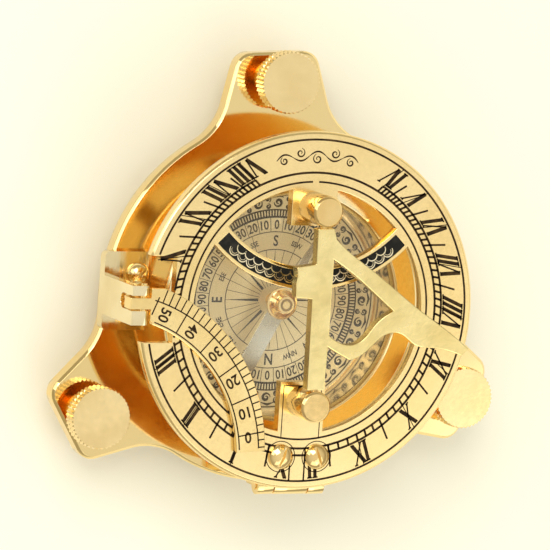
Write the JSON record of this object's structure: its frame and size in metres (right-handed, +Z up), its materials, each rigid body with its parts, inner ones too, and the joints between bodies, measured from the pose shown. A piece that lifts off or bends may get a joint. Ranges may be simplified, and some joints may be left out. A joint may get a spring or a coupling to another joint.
{
  "type": "folding sundial compass",
  "caption": "Folding pocket sundial: hinged hour ring with gnomon and latitude arc over a glazed compass bowl, on a three-eared base with levelling screws.",
  "frame": {"origin": "on the compass axis, at the level of the tips of the three levelling screws", "axes": "+Z up out of the dial, -Y towards noon (XII) and the ring's hinge, -X towards the latitude bracket"},
  "size_m": [0.1057, 0.0982, 0.0404],
  "materials": {
    "cast_brass": "polished",
    "turned_brass": "polished",
    "dial_brass": "lacquered and engraved",
    "clear_glass": "clear",
    "printed_card": "printed scales",
    "needle_steel": "bright",
    "black_fill": "black enamel fill"
  },
  "bodies": {
    "base": {"base_plate": "cast_brass", "compass_bowl": "turned_brass", "bowl_glass": "clear_glass", "bezel_ring": "turned_brass", "compass_card": "printed_card", "needle_pivot": "turned_brass", "hinge_block": "cast_brass", "arc_bracket": "cast_brass", "arc_pin": "turned_brass", "bracket_screw": "turned_brass"},
    "ring": {"hour_ring": "dial_brass", "crossbar_inlay": "black_fill", "hinge_leaf": "cast_brass", "hinge_pin": "turned_brass", "hinge_screws": "turned_brass", "post_noon": "turned_brass", "post_far": "turned_brass"},
    "gnomon_fold": {"gnomon": "dial_brass", "gnomon_pin": "turned_brass"},
    "arc": {"latitude_arc": "dial_brass"},
    "needle": {"compass_needle": "needle_steel", "needle_cap": "turned_brass"},
    "screw_a": {"stud_a": "turned_brass"},
    "thumb_a": {"knob_a": "turned_brass"},
    "screw_b": {"stud_b": "turned_brass"},
    "thumb_b": {"knob_b": "turned_brass"},
    "screw_c": {"stud_c": "turned_brass"},
    "thumb_c": {"knob_c": "turned_brass"}
  },
  "joints": [
    {"name": "ring_tilt", "type": "hinge", "parent": "base", "child": "ring", "pos_m": [0, -0.0393, 0.0269], "axis": [1, 0, 0], "range_deg": [0, 80]},
    {"name": "gnomon_turn", "type": "hinge", "parent": "ring", "child": "gnomon_fold", "pos_m": [-0.0003, 0, 0.0382], "axis": [0, -1, 0], "range_deg": [0, 90]},
    {"name": "arc_swing", "type": "hinge", "parent": "ring", "child": "arc", "pos_m": [-0.0393, 0.0019, 0.0314], "axis": [0, -1, 0], "range_deg": [0, 90]},
    {"name": "needle_spin", "type": "hinge", "parent": "base", "child": "needle", "pos_m": [0, 0, 0.0166], "axis": [0, 0, 1], "continuous": true},
    {"name": "screw_a_rise", "type": "slide", "parent": "base", "child": "screw_a", "axis": [0, 0, 1], "range_m": [-0.00221, 0.00321]},
    {"name": "screw_a_turn", "type": "hinge", "parent": "screw_a", "child": "thumb_a", "pos_m": [-0.00244, 0.04984, 0.018], "axis": [0, 0, 1], "range_deg": [-990, 1440]},
    {"name": "screw_b_rise", "type": "slide", "parent": "base", "child": "screw_b", "axis": [0, 0, 1], "range_m": [-0.00221, 0.00321]},
    {"name": "screw_b_turn", "type": "hinge", "parent": "screw_b", "child": "thumb_b", "pos_m": [-0.04286, -0.02555, 0.018], "axis": [0, 0, 1], "range_deg": [-990, 1440]},
    {"name": "screw_c_rise", "type": "slide", "parent": "base", "child": "screw_c", "axis": [0, 0, 1], "range_m": [-0.00221, 0.00321]},
    {"name": "screw_c_turn", "type": "hinge", "parent": "screw_c", "child": "thumb_c", "pos_m": [0.0453, -0.02093, 0.018], "axis": [0, 0, 1], "range_deg": [-990, 1440]}
  ],
  "couplings": [
    {"joint": "screw_a_rise", "follows": "screw_a_turn", "m_per_rad": 0.00012732},
    {"joint": "screw_b_rise", "follows": "screw_b_turn", "m_per_rad": 0.00012732},
    {"joint": "screw_c_rise", "follows": "screw_c_turn", "m_per_rad": 0.00012732}
  ]
}
